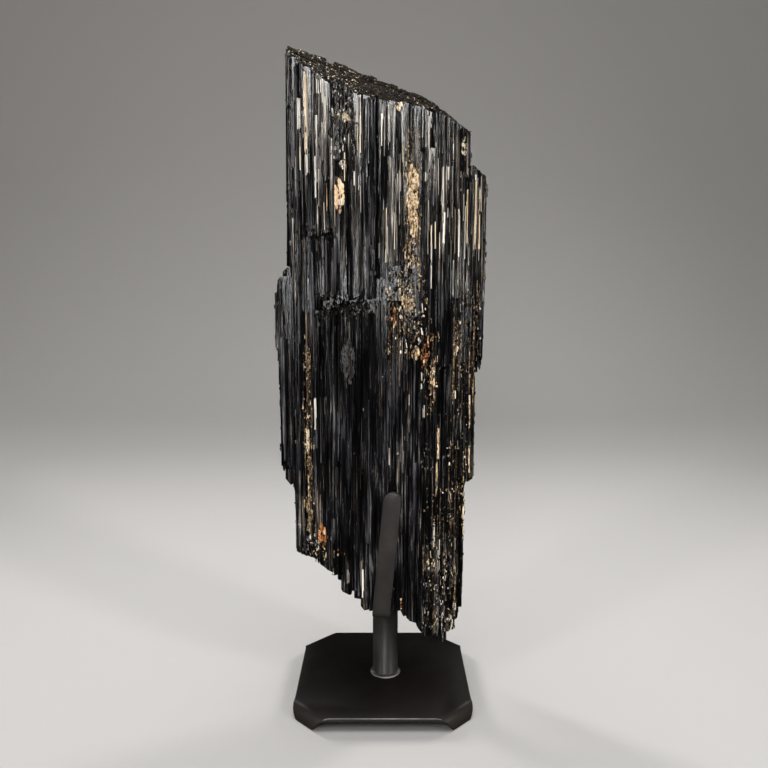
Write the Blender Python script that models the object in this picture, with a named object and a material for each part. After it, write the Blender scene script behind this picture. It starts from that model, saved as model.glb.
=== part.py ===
"""Black crystal specimen on its stand: a mass of upright blades held by a steel cradle.

Metres, +Z up. The origin is on the floor under the middle of the base plate, and the front is -Y.
"""
import math
import random

import bmesh
import bpy
from mathutils import Matrix, Vector

# Gap kept between two pieces that touch
GAP = 0.0003

# Base plate: a square of sheet steel whose clipped corners are rolled down as feet
PLATE_SIDE = 0.127
PLATE_THICKNESS = 0.0032
PLATE_TOP = 0.0097
CORNER_LEG = 0.0265
FOOT_WIDTH = 0.018
FOOT_BEND_RADIUS = 0.0076
FOOT_BEND_STEPS = 8
PLATE_EDGE_BREAK = 0.0004

# Post: a round bar, with the bead of its weld round its foot
POST_DIAMETER = 0.01905
POST_X = 0.0018
POST_TOP = 0.0668
WELD_REACH = 0.0020
WELD_HEIGHT = 0.0022
# The bead's rounded face, as shares of its reach and its height
WELD_ROUND = ((0.35, 0.80), (0.80, 0.45))
POST_SIDES = 48

# Cradle: a flat bar bent up at both ends, across the top of the post
BAR_WIDTH = 0.0127
BAR_THICKNESS = 0.0032
CRADLE_FLOOR = POST_TOP + GAP
CRADLE_REACH = 0.0330
CRADLE_TURN = math.radians(5.4)
ARM_TOP = 0.1610
ARM_LEAN = 0.0084
ARM_TIP_STEPS = 10
BEND_INNER_RADIUS = 0.0014
BEND_STEPS = 5

# Crystal: its plan, from the left end along the front and back along the rear
CRYSTAL_SEED = 23
PLAN = (
    (-0.0678, 0.0100), (-0.0650, -0.0030), (-0.0560, -0.0120), (-0.0435, -0.0255),
    (-0.0200, -0.0272), (0.0080, -0.0272), (0.0300, -0.0250), (0.0480, -0.0175),
    (0.0590, -0.0070), (0.0618, 0.0030), (0.0570, 0.0160), (0.0400, 0.0240),
    (0.0100, 0.0270), (-0.0200, 0.0275), (-0.0450, 0.0260), (-0.0620, 0.0200),
)
BLADE_WIDTHS = (0.0028, 0.0068)
BLADE_DEPTH = 0.0105
BLADE_OVERLAP = 1.30
# A blade narrower than this share of the narrowest width is joined to its neighbour
SHORT_END = 0.6
# How a blade's outer corners are cut back: a share of its width, then a share of that cut
CORNER_CUT = (0.10, 0.42)
CORNER_SLOPE = (0.4, 1.3)
FACE_TILT = 0.0006
# A blade faces the left or right end where its outward direction leans this far
END_FACING = 0.75

# Slabs behind the blades: widths, overlaps, and how far they stop short of the crystal's ends
CORE_INSET = 0.0062
SLAB_WIDTHS = (0.008, 0.014)
SLAB_OVERLAP_LEFT = 0.0011
SLAB_OVERLAP_RIGHT = 0.0012
SLAB_OVERLAP_FRONT = 0.0007
SLAB_OVERLAP_BACK = 0.0008
SLAB_SHIFT = 0.002
THINNEST_SLAB = 0.006
SLAB_LIFT = (0.001, 0.007)
SLAB_DROP = (0.0006, 0.0026)

# The slanted top: its height along the middle as x, z, and how steeply it rises to the back at x
TOP_LINE = (
    (-0.0700, 0.4670), (-0.0530, 0.4595), (-0.0430, 0.4550), (-0.0250, 0.4475),
    (-0.0050, 0.4405), (0.0120, 0.4362), (0.0270, 0.4320), (0.0410, 0.4250),
    (0.0500, 0.4180), (0.0620, 0.4100),
)
TOP_RISE = ((-0.0700, 0.45), (-0.0250, 0.50), (0.0000, 0.47), (0.0200, 0.40), (0.0410, 0.33), (0.0620, 0.30))
TOP_ROUGHNESS = 0.0022

# The broken lower end: height of the blades' ends across the crystal, as x, z
LOWER_END = (
    (-0.0670, 0.1080), (-0.0460, 0.1060), (-0.0340, 0.0990), (-0.0290, 0.0890),
    (-0.0220, 0.0850), (-0.0140, 0.0760), (-0.0100, 0.0720), (0.0125, 0.0720),
    (0.0150, 0.0640), (0.0210, 0.0600), (0.0280, 0.0540), (0.0360, 0.0500),
    (0.0460, 0.0440), (0.0530, 0.0540), (0.0620, 0.0760),
)
LOWER_END_ROUGHNESS = 0.0035
END_SLOPE = 0.5
# To the left of this the lower end is one clean slanting face, with no steps
CLEAN_END_RIGHT = -0.0340
# Blades between these stand on the cradle, so they end level with its top
REST_LEFT = -0.0120
REST_RIGHT = 0.0140

# How far the front blades stand proud of the plan, as x, distance: above and below the ledges
UPPER_RELIEF = (
    (-0.0600, 0.0005), (-0.0545, 0.0012), (-0.0500, 0.0012), (-0.0480, -0.0026),
    (-0.0440, -0.0024), (-0.0425, 0.0016), (-0.0320, 0.0016), (-0.0300, -0.0014),
    (-0.0190, -0.0016), (-0.0170, 0.0014), (-0.0070, 0.0016), (-0.0045, -0.0050),
    (-0.0030, -0.0050), (-0.0010, 0.0018), (0.0110, 0.0016), (0.0150, -0.0014),
    (0.0230, -0.0012), (0.0260, -0.0040), (0.0310, -0.0040), (0.0340, 0.0010),
    (0.0440, 0.0012), (0.0480, -0.0008), (0.0590, 0.0008),
)
LOWER_RELIEF = (
    (-0.0600, 0.0004), (-0.0540, 0.0010), (-0.0500, -0.0016), (-0.0420, 0.0012),
    (-0.0330, 0.0016), (-0.0300, -0.0010), (-0.0270, 0.0012), (-0.0180, 0.0008),
    (-0.0060, 0.0012), (0.0020, 0.0010), (0.0110, -0.0006), (0.0190, -0.0026),
    (0.0270, 0.0008), (0.0360, 0.0012), (0.0420, -0.0024), (0.0500, 0.0006),
    (0.0590, 0.0008),
)
# Ledges broken across the front: x from, x to, height, height of the open notch under it,
# or how far the blades run past each other where there is no notch, as a value below nought,
# and how far the blades under it stand back
LEDGES = (
    (-0.0570, -0.0240, 0.3380, -0.0040, 0.0016),
    (-0.0500, -0.0052, 0.2960, 0.0095, 0.0),
    (-0.0052, 0.0010, 0.3080, 0.0150, 0.0),
    (0.0010, 0.0125, 0.3170, 0.0240, 0.0),
    (0.0125, 0.0250, 0.3120, 0.0440, 0.0),
    (0.0250, 0.0330, 0.3900, -0.0040, 0.0),
    (0.0330, 0.0470, 0.2500, -0.0040, 0.0010),
    (0.0470, 0.0620, 0.2700, -0.0040, 0.0010),
)
LEDGE_ROUGHNESS = 0.0022
RELIEF_ROUGHNESS = 0.0006
LEDGE_OVERLAP = 0.0040

# The two ends draw in under these breaks: height, how far the lower blades stand back
LEFT_END_BREAK = (0.1580, 0.0046)
RIGHT_END_BREAKS = ((0.1620, 0.0018), (0.0860, 0.0042))

# The rear blades: how many breaks each may have, the heights they lie between, and the relief
BACK_BREAK_COUNTS = (1, 1, 2)
BACK_BREAK_HEIGHTS = (0.16, 0.40)
BACK_RELIEF = (-0.0016, 0.0012)

# Blades that stand out past the plan: x, y, width, depth, lower end, upper end
SIDE_BLADES = (
    (-0.0685, 0.0080, 0.0080, 0.0150, 0.1570, 0.3170),
    (-0.0712, 0.0020, 0.0060, 0.0110, 0.1680, 0.3120),
    (-0.0735, 0.0075, 0.0050, 0.0090, 0.2040, 0.3080),
    (-0.0750, 0.0035, 0.0044, 0.0080, 0.2560, 0.3010),
    (0.0645, 0.0020, 0.0090, 0.0160, 0.2400, 0.3870),
    (0.0625, -0.0060, 0.0070, 0.0120, 0.1620, 0.3780),
    (0.0680, -0.0010, 0.0070, 0.0120, 0.2480, 0.3840),
    (0.0700, 0.0050, 0.0060, 0.0110, 0.2880, 0.3800),
    (0.0622, 0.0050, 0.0060, 0.0130, 0.1600, 0.2600),
)
# How far they are rooted in the plan, as a share of their width, and how steeply their ends slant
SIDE_ROOT = 1.9
SIDE_SLANT = (0.5, 0.9)

STEEL_COLOUR = (0.035, 0.030, 0.027, 1.0)
STEEL_ROUGHNESS = 0.42
CRYSTAL_COLOUR = (0.014, 0.014, 0.017, 1.0)
CRYSTAL_ROUGHNESS = 0.22


def clear_scene():
    for old in list(bpy.data.objects):
        bpy.data.objects.remove(old, do_unlink=True)


def plain_material(name, colour, roughness, metallic):
    material = bpy.data.materials.new(name)
    material.use_nodes = True
    shader = material.node_tree.nodes["Principled BSDF"]
    shader.inputs["Base Color"].default_value = colour
    shader.inputs["Roughness"].default_value = roughness
    shader.inputs["Metallic"].default_value = metallic
    return material


def dark_steel():
    return plain_material("patinated_steel", STEEL_COLOUR, STEEL_ROUGHNESS, 1.0)


def black_crystal():
    return plain_material("black_crystal", CRYSTAL_COLOUR, CRYSTAL_ROUGHNESS, 0.0)


def add_object(name, mesh, material):
    piece = bpy.data.objects.new(name, mesh)
    piece.data.materials.append(material)
    bpy.context.scene.collection.objects.link(piece)
    return piece


def read_line(line, x):
    """Height of a line of (x, value) points at x, level past its ends."""
    if x <= line[0][0]:
        return line[0][1]
    for (x_left, left), (x_right, right) in zip(line, line[1:]):
        if x <= x_right:
            return left + (right - left) * (x - x_left) / (x_right - x_left)
    return line[-1][1]


# Stand

def foot_rows():
    """Rows of a rolled corner, from the bend line to the floor, as distance out, height, half width."""
    bend_arc = FOOT_BEND_RADIUS * math.pi / 2
    straight = PLATE_TOP - FOOT_BEND_RADIUS
    bend_half = CORNER_LEG / math.sqrt(2)
    bend_line = PLATE_SIDE / math.sqrt(2) - bend_half
    rows = []
    for step in range(FOOT_BEND_STEPS + 1):
        angle = math.pi / 2 * step / FOOT_BEND_STEPS
        rows.append((bend_line + FOOT_BEND_RADIUS * math.sin(angle),
                     PLATE_TOP - FOOT_BEND_RADIUS * (1 - math.cos(angle)),
                     FOOT_BEND_RADIUS * angle))
    rows.append((bend_line + FOOT_BEND_RADIUS, 0.0, bend_arc + straight))
    narrowing = (bend_half - FOOT_WIDTH / 2) / (bend_arc + straight)
    return [(out, height, bend_half - along * narrowing) for out, height, along in rows]


def make_base_plate(material):
    sheet = bmesh.new()
    rows = foot_rows()
    plate_edge = []
    for corner in range(4):
        turn = Matrix.Rotation(math.radians(45 + 90 * corner), 4, "Z")
        strip = []
        for out, height, half in rows:
            strip.append([sheet.verts.new(turn @ Vector((out, side * half, height))) for side in (-1, 1)])
        for (right, left), (next_right, next_left) in zip(strip, strip[1:]):
            sheet.faces.new((right, next_right, next_left, left))
        plate_edge += strip[0]
    sheet.faces.new(plate_edge)
    bmesh.ops.recalc_face_normals(sheet, faces=sheet.faces)
    mesh = bpy.data.meshes.new("base_plate")
    sheet.to_mesh(mesh)
    sheet.free()
    plate = add_object("base_plate", mesh, material)
    thickness = plate.modifiers.new("sheet thickness", "SOLIDIFY")
    thickness.thickness = PLATE_THICKNESS
    thickness.offset = -1.0
    thickness.use_even_offset = True
    edges = plate.modifiers.new("broken edges", "BEVEL")
    edges.width = PLATE_EDGE_BREAK
    edges.segments = 1
    edges.limit_method = "ANGLE"
    edges.angle_limit = math.radians(50)
    return plate


def make_post(material):
    """Bar turned from its profile, which runs down its outer side and out over the weld."""
    radius = POST_DIAMETER / 2
    foot = PLATE_TOP + GAP
    profile = [(0.0, POST_TOP), (radius, POST_TOP), (radius, foot + WELD_HEIGHT)]
    profile += [(radius + WELD_REACH * out, foot + WELD_HEIGHT * up) for out, up in WELD_ROUND]
    profile += [(radius + WELD_REACH, foot), (0.0, foot)]
    turned = bmesh.new()
    verts = [turned.verts.new((out, 0.0, height)) for out, height in profile]
    edges = [turned.edges.new(pair) for pair in zip(verts, verts[1:])]
    bmesh.ops.spin(turned, geom=verts + edges, axis=(0, 0, 1), cent=(0, 0, 0),
                   angle=2 * math.pi, steps=POST_SIDES)
    bmesh.ops.remove_doubles(turned, verts=turned.verts, dist=0.000001)
    bmesh.ops.recalc_face_normals(turned, faces=turned.faces)
    mesh = bpy.data.meshes.new("post")
    turned.to_mesh(mesh)
    turned.free()
    mesh.shade_smooth()
    mesh.set_sharp_from_angle(angle=math.radians(35))
    post = add_object("post", mesh, material)
    post.location.x = POST_X
    return post


def cradle_path():
    """Outer side of the bent bar, as reach, height, from the middle of its floor to an arm's top."""
    outer = BEND_INNER_RADIUS + BAR_THICKNESS
    path = [(0.0, CRADLE_FLOOR)]
    for step in range(BEND_STEPS + 1):
        angle = math.pi / 2 * step / BEND_STEPS
        path.append((CRADLE_REACH - outer + outer * math.sin(angle),
                     CRADLE_FLOOR + outer * (1 - math.cos(angle))))
    half = BAR_WIDTH / 2
    shoulder = ARM_TOP - half
    path.append((CRADLE_REACH, shoulder))
    tip = []
    for step in range(1, ARM_TIP_STEPS):
        angle = math.pi / 2 * step / ARM_TIP_STEPS
        tip.append((shoulder + half * math.sin(angle), half * math.cos(angle)))
    return path, tip


def make_cradle(material):
    path, tip = cradle_path()
    half = BAR_WIDTH / 2
    rows = [(-reach, height, half) for reach, height in reversed(path)]
    rows += [(reach, height, half) for reach, height in path[1:]]
    rows = [(-CRADLE_REACH, height, width) for height, width in reversed(tip)] + rows
    rows += [(CRADLE_REACH, height, width) for height, width in tip]
    arm_foot = CRADLE_FLOOR + BEND_INNER_RADIUS + BAR_THICKNESS
    sheet = bmesh.new()
    strip = []
    for reach, height, width in rows:
        lean = ARM_LEAN * max(0.0, height - arm_foot) / (ARM_TOP - arm_foot)
        strip.append([sheet.verts.new((side * width + lean, reach, height)) for side in (-1, 1)])
    for (left, right), (next_left, next_right) in zip(strip, strip[1:]):
        sheet.faces.new((left, next_left, next_right, right))
    for end, reach in ((strip[0], -CRADLE_REACH), (strip[-1], CRADLE_REACH)):
        top = sheet.verts.new((ARM_LEAN, reach, ARM_TOP))
        sheet.faces.new((end[0], end[1], top))
    bmesh.ops.recalc_face_normals(sheet, faces=sheet.faces)
    mesh = bpy.data.meshes.new("cradle")
    sheet.to_mesh(mesh)
    sheet.free()
    cradle = add_object("cradle", mesh, material)
    cradle.location.x = POST_X
    cradle.rotation_euler.z = -CRADLE_TURN
    thickness = cradle.modifiers.new("bar thickness", "SOLIDIFY")
    thickness.thickness = BAR_THICKNESS
    thickness.offset = -1.0
    thickness.use_even_offset = True
    return cradle


# Crystal

def top_height(x, y):
    return read_line(TOP_LINE, x) + read_line(TOP_RISE, x) * y


def lower_end(x, rough):
    """Height of a blade's lower end, held off the cradle where it stands over it."""
    height = read_line(LOWER_END, x) + rough
    if REST_LEFT < x < REST_RIGHT:
        return max(height, CRADLE_FLOOR + BAR_THICKNESS + GAP)
    return height


def prism(mesh, ring, lower, upper):
    """Closed upright solid over a ring of plan points, between two heights at each point."""
    below = [mesh.verts.new((x, y, z)) for (x, y), z in zip(ring, lower)]
    above = [mesh.verts.new((x, y, z)) for (x, y), z in zip(ring, upper)]
    count = len(ring)
    mesh.faces.new(list(reversed(below)))
    mesh.faces.new(above)
    for near in range(count):
        far = (near + 1) % count
        mesh.faces.new((below[near], below[far], above[far], above[near]))


def blade_ring(centre, outward, width, depth, rng):
    """Plan of one blade: a flat-faced plank with its two outer corners cut back unevenly."""
    side = Vector((-outward.y, outward.x))
    left_in = rng.uniform(*CORNER_CUT) * width
    right_in = rng.uniform(*CORNER_CUT) * width
    left_back = rng.uniform(*CORNER_SLOPE) * left_in
    right_back = rng.uniform(*CORNER_SLOPE) * right_in
    tilt = rng.uniform(-FACE_TILT, FACE_TILT)
    half = width / 2
    corners = ((-half, -depth), (half, -depth), (half, -right_back),
               (half - right_in, tilt), (left_in - half, -tilt), (-half, -left_back))
    return [tuple(centre + side * across + outward * out) for across, out in corners]


def walk_plan(rng):
    """Centres, outward directions and widths of the blades round the plan."""
    stops = []
    points = [Vector(point) for point in PLAN]
    for start, end in zip(points, points[1:] + points[:1]):
        run = end - start
        outward = Vector((run.y, -run.x)).normalized()
        along = 0.0
        while along < run.length:
            width = min(rng.uniform(*BLADE_WIDTHS), run.length - along)
            if run.length - along - width < BLADE_WIDTHS[0] * SHORT_END:
                width = run.length - along
            stops.append((start + run * ((along + width / 2) / run.length), outward, width))
            along += width
    return stops


def front_spans(x, lower, upper, rng):
    """Lower and upper ends of a front blade's lengths between the ledges, with how proud each is."""
    cuts = [(height + rng.uniform(-1, 1) * LEDGE_ROUGHNESS, notch, step)
            for x_from, x_to, height, notch, step in LEDGES if x_from <= x < x_to]
    spans = []
    top = upper
    back = 0.0
    for height, notch, step in sorted(cuts, reverse=True):
        spans.append((height, top, back))
        top = height - notch
        back = step
    spans.append((lower, top, back))
    relief = [UPPER_RELIEF] * len(cuts) + [LOWER_RELIEF]
    if not cuts:
        relief = [UPPER_RELIEF]
    return [(low, high, read_line(line, x) - back + rng.uniform(-RELIEF_ROUGHNESS, RELIEF_ROUGHNESS))
            for (low, high, back), line in zip(spans, relief)]


def end_spans(sign, lower, upper):
    """Blades at the left (sign -1) or right (sign 1) end, stepping in towards the foot."""
    breaks = (LEFT_END_BREAK,) if sign < 0 else RIGHT_END_BREAKS
    spans = []
    top = upper
    proud = 0.0
    for height, inset in breaks:
        spans.append((height - LEDGE_OVERLAP, top, proud))
        top = height
        proud = -inset
    spans.append((lower, top, proud))
    return spans


def back_spans(lower, upper, rng):
    """The rear blades are broken once or twice, at heights of their own."""
    cuts = sorted(rng.uniform(*BACK_BREAK_HEIGHTS) for _ in range(rng.choice(BACK_BREAK_COUNTS)))
    spans = []
    low = lower
    for cut in cuts + [upper]:
        spans.append((low, cut, rng.uniform(*BACK_RELIEF)))
        low = cut - LEDGE_OVERLAP
    return spans


def add_outer_blades(mesh, rng):
    for centre, outward, width in walk_plan(rng):
        low = lower_end(centre.x, rng.uniform(-1, 1) * LOWER_END_ROUGHNESS)
        drop = rng.uniform(0.0, 1.0) ** 2 * TOP_ROUGHNESS
        if abs(outward.x) > END_FACING:
            spans = end_spans(outward.x, low, top_height(*centre))
        elif outward.y < 0:
            spans = front_spans(centre.x, low, top_height(*centre), rng)
        else:
            spans = back_spans(low, top_height(*centre), rng)
        highest = max(high for _, high, _ in spans)
        for low_end, high_end, proud in spans:
            ring = blade_ring(centre + outward * proud, outward, width * BLADE_OVERLAP, BLADE_DEPTH, rng)
            slope = rng.uniform(-END_SLOPE, END_SLOPE)
            below = [low_end + slope * (x - centre.x) for x, y in ring]
            above = [high_end + slope * (x - centre.x) / 2 for x, y in ring]
            if low_end == low:
                below = [max(z, lower_end(x, -LOWER_END_ROUGHNESS)) for z, (x, y) in zip(below, ring)]
                if centre.x < CLEAN_END_RIGHT:
                    below = [lower_end(x, 0.0) for x, y in ring]
            if high_end == highest:
                above = [top_height(x, y) - drop for x, y in ring]
            prism(mesh, ring, below, above)


def add_side_blades(mesh, rng):
    for x, y, width, depth, low, high in SIDE_BLADES:
        outward = Vector((math.copysign(1.0, x), 0.0))
        centre = Vector((x + outward.x * width / 2, y))
        ring = blade_ring(centre, outward, depth, width * SIDE_ROOT, rng)
        slant = rng.uniform(*SIDE_SLANT)
        below = [low + slant * abs(px - x) for px, py in ring]
        above = [high - slant * max(0.0, (px - x) * outward.x) for px, py in ring]
        prism(mesh, ring, below, above)


def plan_reach(x, sign):
    """How far the plan reaches to the front (sign -1) or the back (sign 1) at x."""
    reach = 0.0
    for (x1, y1), (x2, y2) in zip(PLAN, PLAN[1:] + PLAN[:1]):
        if min(x1, x2) <= x <= max(x1, x2) and x1 != x2:
            y = y1 + (y2 - y1) * (x - x1) / (x2 - x1)
            reach = max(reach, sign * y)
    return reach


def core_slabs(rng):
    """Upright slabs that fill the crystal behind its outer blades, as ring, lower and upper end."""
    left = PLAN[0][0] + CORE_INSET
    right = max(x for x, y in PLAN) - CORE_INSET
    edge = left
    slabs = []
    while edge < right:
        width = min(rng.uniform(*SLAB_WIDTHS), right - edge)
        x_from = edge - SLAB_OVERLAP_LEFT
        x_to = edge + width + SLAB_OVERLAP_RIGHT
        front = -min(plan_reach(x_from, -1), plan_reach(x_to, -1)) + CORE_INSET
        back = max(front + THINNEST_SLAB, min(plan_reach(x_from, 1), plan_reach(x_to, 1)) - CORE_INSET)
        middle = (front + back) / 2 + rng.uniform(-SLAB_SHIFT, SLAB_SHIFT)
        for y_from, y_to in ((front, middle + SLAB_OVERLAP_FRONT), (middle - SLAB_OVERLAP_BACK, back)):
            ring = ((x_from, y_from), (x_to, y_from), (x_to, y_to), (x_from, y_to))
            slabs.append((ring, rng.uniform(*SLAB_LIFT), rng.uniform(*SLAB_DROP)))
        edge += width
    return slabs


def finish_blades(name, blades, material):
    bmesh.ops.recalc_face_normals(blades, faces=blades.faces)
    mesh = bpy.data.meshes.new(name)
    blades.to_mesh(mesh)
    blades.free()
    return add_object(name, mesh, material)


def make_core(material, rng):
    slabs = bmesh.new()
    for ring, lift, drop in core_slabs(rng):
        below = [lower_end(x, 0.0) + lift for x, y in ring]
        above = [top_height(x, y) - drop for x, y in ring]
        prism(slabs, ring, below, above)
    core = finish_blades("crystal_core", slabs, material)
    core.hide_render = True
    core.display_type = "WIRE"
    return core


def make_crystal(material):
    """Outer blades all grown together with each other and with the slabs behind them."""
    rng = random.Random(CRYSTAL_SEED)
    blades = bmesh.new()
    add_outer_blades(blades, rng)
    add_side_blades(blades, rng)
    crystal = finish_blades("crystal", blades, material)
    grown = crystal.modifiers.new("grown together", "BOOLEAN")
    grown.operation = "UNION"
    grown.solver = "EXACT"
    grown.use_self = True
    grown.object = make_core(material, rng)
    return crystal


clear_scene()
steel = dark_steel()
make_base_plate(steel)
make_post(steel)
make_cradle(steel)
make_crystal(black_crystal())
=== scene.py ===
"""Black crystal specimen on its stand: the looks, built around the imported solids. Metres, +Z up."""
import math
import random

import bmesh
import bpy
from mathutils import Matrix, Vector, noise
from mathutils.bvhtree import BVHTree


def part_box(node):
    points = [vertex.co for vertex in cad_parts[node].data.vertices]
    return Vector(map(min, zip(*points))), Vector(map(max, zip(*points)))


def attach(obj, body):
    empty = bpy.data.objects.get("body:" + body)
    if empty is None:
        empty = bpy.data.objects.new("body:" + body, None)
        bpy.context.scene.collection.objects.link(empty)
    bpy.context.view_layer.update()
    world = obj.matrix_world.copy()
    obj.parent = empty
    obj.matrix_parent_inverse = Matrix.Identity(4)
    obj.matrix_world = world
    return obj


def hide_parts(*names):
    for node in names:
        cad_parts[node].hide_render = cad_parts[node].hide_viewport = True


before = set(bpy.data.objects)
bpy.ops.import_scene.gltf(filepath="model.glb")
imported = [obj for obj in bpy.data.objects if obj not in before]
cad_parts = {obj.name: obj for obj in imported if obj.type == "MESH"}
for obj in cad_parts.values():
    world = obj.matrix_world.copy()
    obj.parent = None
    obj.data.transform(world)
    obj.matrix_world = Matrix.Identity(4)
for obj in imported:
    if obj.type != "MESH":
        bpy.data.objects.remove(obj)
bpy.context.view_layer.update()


# Camera, floor and light
# The camera stands where the photograph was taken from, a little above the middle of the crystal.
# The pale floor sweeps up behind, lit by soft panels, and is kept out of all glossy reflections.
CAMERA_PLACE = (0.0008, -0.540, 0.308)
CAMERA_DOWN = math.radians(7.9)
FLOOR_GREY = (0.80, 0.79, 0.78, 1.0)
FLOOR_FRONT = -2.2
FLOOR_BACK = 1.1
FLOOR_HALF = 2.6
SWEEP_RADIUS = 0.9
SWEEP_STEPS = 12
BACKDROP_TOP = 2.6
PANEL_WHITE = (1.0, 0.96, 0.91)
BACK_WHITE = (1.0, 0.97, 0.93)
UPPER_CRYSTAL = (0.0, 0.0, 0.36)

camera_data = bpy.data.cameras.new("camera")
camera_data.lens = 35.0
camera_data.sensor_width = 36.0
camera = bpy.data.objects.new("camera", camera_data)
camera.location = CAMERA_PLACE
camera.rotation_euler = (math.radians(90) - CAMERA_DOWN, 0.0, 0.0)
bpy.context.scene.collection.objects.link(camera)
bpy.context.scene.camera = camera


def deselect_all():
    bpy.ops.object.select_all(action="DESELECT")


def pick(piece):
    """Makes a piece the only one selected, ready for an operator."""
    deselect_all()
    piece.select_set(True)
    bpy.context.view_layer.objects.active = piece


def shader_of(material):
    return material.node_tree.nodes["Principled BSDF"]


def new_material(name):
    material = bpy.data.materials.new(name)
    material.use_nodes = True
    return material


deselect_all()
bpy.ops.mesh.primitive_plane_add(size=1.0, location=(0.0, 0.0, 0.0))
floor = bpy.context.active_object
floor.name = "studio_floor"
floor.scale = (2 * FLOOR_HALF, FLOOR_BACK - FLOOR_FRONT, 1.0)
floor.location = (0.0, (FLOOR_BACK + FLOOR_FRONT) / 2, 0.0)
bpy.ops.object.transform_apply(location=True, rotation=True, scale=True)
bpy.ops.object.mode_set(mode="EDIT")
sheet = bmesh.from_edit_mesh(floor.data)
for edge in sheet.edges:
    edge.select = all(vert.co.y > FLOOR_BACK - 0.01 for vert in edge.verts)
for step in range(SWEEP_STEPS):
    angle = math.radians(90) * (step + 1) / SWEEP_STEPS
    last = math.radians(90) * step / SWEEP_STEPS
    move = (0.0, SWEEP_RADIUS * (math.sin(angle) - math.sin(last)),
            SWEEP_RADIUS * (math.cos(last) - math.cos(angle)))
    bpy.ops.mesh.extrude_region_move(TRANSFORM_OT_translate={"value": move})
bpy.ops.mesh.extrude_region_move(TRANSFORM_OT_translate={"value": (0.0, 0.0, BACKDROP_TOP - SWEEP_RADIUS)})
bpy.ops.object.mode_set(mode="OBJECT")
floor.data.shade_smooth()
paper = new_material("pale_paper")
shader_of(paper).inputs["Base Color"].default_value = FLOOR_GREY
shader_of(paper).inputs["Roughness"].default_value = 0.75
floor.data.materials.append(paper)
floor.visible_glossy = False

world = bpy.data.worlds.new("dim_studio")
bpy.context.scene.world = world
world.use_nodes = True
world.node_tree.nodes["Background"].inputs["Color"].default_value = (0.46, 0.47, 0.50, 1.0)
world.node_tree.nodes["Background"].inputs["Strength"].default_value = 0.05
bpy.context.scene.view_settings.view_transform = "Standard"


def soft_panel(name, place, aim, width, height, watts, spread, colour=(1.0, 1.0, 1.0)):
    """An area light of a size in metres, aimed at a point, its beam kept to a spread in degrees."""
    panel = bpy.data.lights.new(name, "AREA")
    panel.shape = "RECTANGLE"
    panel.size = width
    panel.size_y = height
    panel.energy = watts
    panel.color = colour
    panel.spread = math.radians(spread)
    lamp = bpy.data.objects.new(name, panel)
    lamp.location = place
    lamp.rotation_euler = (Vector(aim) - Vector(place)).to_track_quat("-Z", "Y").to_euler()
    bpy.context.scene.collection.objects.link(lamp)


soft_panel("left_panel", (-0.85, -0.80, 0.72), UPPER_CRYSTAL, 0.15, 0.46, 1.5, 110.0, PANEL_WHITE)
soft_panel("right_panel", (0.92, -0.72, 0.76), UPPER_CRYSTAL, 0.15, 0.46, 3.3, 110.0, PANEL_WHITE)
soft_panel("front_panel", (-0.16, -1.20, 0.80), UPPER_CRYSTAL, 0.36, 0.24, 2.5, 100.0)
soft_panel("stand_panel", (-0.12, -1.10, 0.28), (0.0, 0.0, 0.08), 0.22, 0.22, 0.16, 34.0)
for side, x in (("left", -0.95), ("right", 0.95)):
    soft_panel("back_" + side + "_panel", (x, 0.85, 0.75), UPPER_CRYSTAL, 0.20, 0.46, 1.0, 80.0, BACK_WHITE)
soft_panel("top_panel", (0.0, -0.10, 1.60), (0.0, 0.0, 0.0), 1.00, 1.00, 7.0, 130.0)


# Stand: base plate, post and cradle
# Steel sheet and bar, bent and welded, then patinated to a dark bronze and waxed to a satin.
# The plate is darker than the bars, as painted shade, and its broken edge and the weld's foot carry a painted
# highlight.
# The plate's tones are set darker than the bars' as painted shade on the same steel.
SHADED_PLATE_TONES = ((0.0030, 0.0022, 0.0020), (0.0048, 0.0036, 0.0032), (0.0080, 0.0062, 0.0054))
STEEP_SLOPE = 0.55
LEVEL_SLOPE = 0.985
# The lighter tone painted on the rolled corners' slopes as a highlight.
ROLLED_HIGHLIGHT_TONE = (0.0220, 0.0184, 0.0170)
BAR_TONES = ((0.013, 0.0115, 0.0108), (0.022, 0.0192, 0.0180), (0.036, 0.0322, 0.0300))
# A lighter steel that paints a highlight along the plate's broken edge and the weld's foot.
EDGE_HIGHLIGHT_TONES = ((0.06, 0.054, 0.050), (0.16, 0.147, 0.138), (0.30, 0.28, 0.265))
EDGE_HIGHLIGHT_BAND = 0.0006
CRADLE_EDGE = 0.00035
SMOOTH_DEGREES = 40.0


def add_node(material, kind, **values):
    node = material.node_tree.nodes.new(kind)
    for name, value in values.items():
        if name.startswith("in_"):
            node.inputs[name[3:].replace("_", " ")].default_value = value
        else:
            setattr(node, name, value)
    return node


def link(material, source, target):
    material.node_tree.links.new(source, target)


def object_pattern(material, scale, kind="ShaderNodeTexNoise", turn=(0.0, 0.0, 0.0), **values):
    """A noise on the piece's own coordinates, stretched by a scale along each axis."""
    coordinates = add_node(material, "ShaderNodeTexCoord")
    mapping = add_node(material, "ShaderNodeMapping")
    mapping.inputs["Scale"].default_value = scale
    mapping.inputs["Rotation"].default_value = turn
    link(material, coordinates.outputs["Object"], mapping.inputs["Vector"])
    texture = add_node(material, kind, **values)
    link(material, mapping.outputs["Vector"], texture.inputs["Vector"])
    return texture


def ramp(material, source, stops):
    node = add_node(material, "ShaderNodeValToRGB")
    band = node.color_ramp
    while len(band.elements) < len(stops):
        band.elements.new(0.5)
    for element, (place, colour) in zip(band.elements, stops):
        element.position = place
        element.color = colour if len(colour) == 4 else (*colour, 1.0)
    link(material, source, node.inputs["Fac"])
    return node


def grey(value):
    return (value, value, value, 1.0)


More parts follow.
